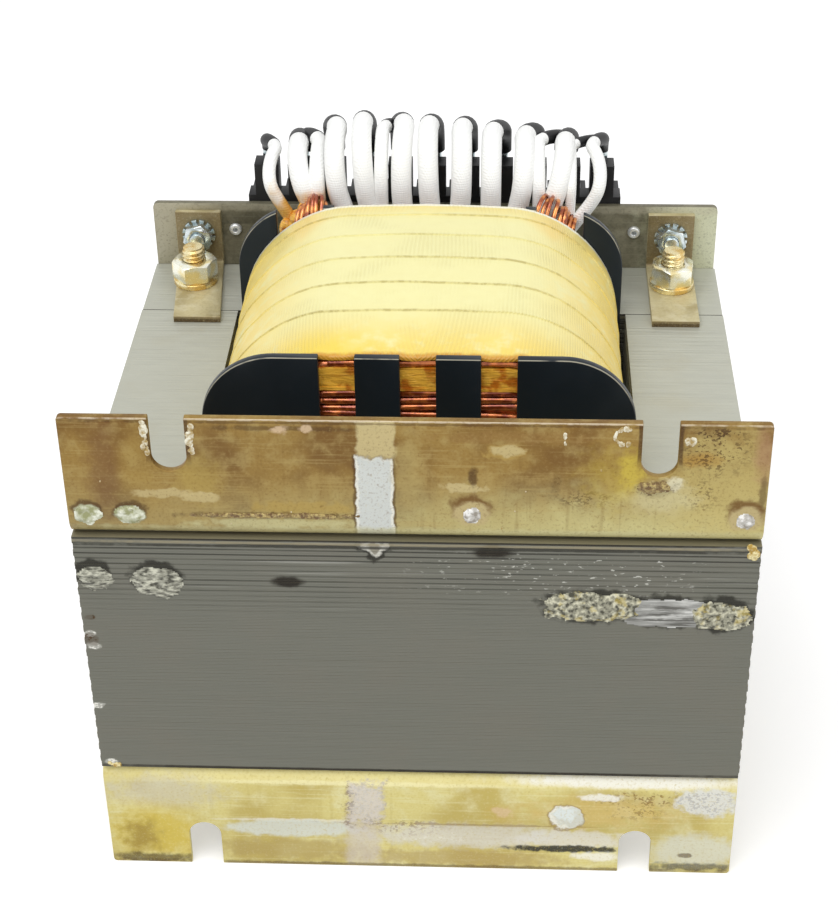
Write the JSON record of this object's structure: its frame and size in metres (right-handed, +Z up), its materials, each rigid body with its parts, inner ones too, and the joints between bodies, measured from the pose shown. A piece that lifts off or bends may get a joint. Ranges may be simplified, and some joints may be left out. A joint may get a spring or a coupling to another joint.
{
  "type": "multi-tap power transformer",
  "caption": "Open core-and-coil mains transformer with slotted wall brackets, a taped coil on a black former and sleeved tap leads arching to a rear terminal block.",
  "frame": {"origin": "on the standing plane, under the middle of the bounding box", "axes": "+X along the core's width, +Y from the mounting face towards the terminals, +Z up along the lamination stack"},
  "size_m": [0.162, 0.1528, 0.1545],
  "materials": {
    "core_steel": "bare lamination edges, varnished, satin",
    "bracket_steel": "plated steel under amber varnish, satin",
    "plate_steel": "steel under brown varnish, satin",
    "clip_steel": "plated steel under amber varnish, satin",
    "yellow_zinc": "yellow plated steel",
    "bright_zinc": "bright plated steel",
    "rivet_metal": "bright, rolled",
    "former_plastic": "black moulding, satin",
    "copper": "enamelled copper wire, gloss",
    "amber_film": "amber film, gloss",
    "glass_tape": "woven glass tape under varnish, satin",
    "block_plastic": "black moulding, satin",
    "terminal_brass": "plain brass strip",
    "sleeve_glass": "white braided glass sleeving, matt",
    "boot_rubber": "black shrink tube, satin"
  },
  "bodies": {
    "root": {"e_laminations": "core_steel", "i_laminations": "core_steel", "upper_bracket": "bracket_steel", "lower_bracket": "bracket_steel", "terminal_plate": "plate_steel", "left_clip": "clip_steel", "right_clip": "clip_steel", "core_bolts": "yellow_zinc", "core_lock_washers": "yellow_zinc", "core_nuts": "yellow_zinc", "clip_screws": "bright_zinc", "clip_star_washers": "bright_zinc", "clip_nuts": "bright_zinc", "coil_former": "former_plastic", "primary_winding": "copper", "interwinding_wrap": "amber_film", "margin_tape": "amber_film", "secondary_winding": "copper", "outer_tape": "glass_tape", "terminal_block": "block_plastic", "terminal_straps": "terminal_brass", "terminal_screws": "bright_zinc", "block_rivets": "rivet_metal", "left_tails": "copper", "right_tails": "copper", "lead_1": "sleeve_glass", "lead_2": "sleeve_glass", "lead_3": "sleeve_glass", "lead_4": "sleeve_glass", "lead_5": "sleeve_glass", "lead_6": "sleeve_glass", "lead_7": "sleeve_glass", "lead_8": "sleeve_glass", "lead_9": "sleeve_glass", "lead_10": "sleeve_glass", "lead_11": "sleeve_glass", "boot_1": "boot_rubber", "boot_2": "boot_rubber", "boot_3": "boot_rubber", "boot_4": "boot_rubber", "boot_5": "boot_rubber", "boot_6": "boot_rubber", "boot_7": "boot_rubber", "boot_8": "boot_rubber", "boot_9": "boot_rubber", "boot_10": "boot_rubber", "boot_11": "boot_rubber", "lug_1": "bright_zinc", "lug_2": "bright_zinc", "lug_3": "bright_zinc", "lug_4": "bright_zinc", "lug_5": "bright_zinc", "lug_6": "bright_zinc", "lug_7": "bright_zinc", "lug_8": "bright_zinc", "lug_9": "bright_zinc", "lug_10": "bright_zinc", "lug_11": "bright_zinc"}
  },
  "joints": []
}
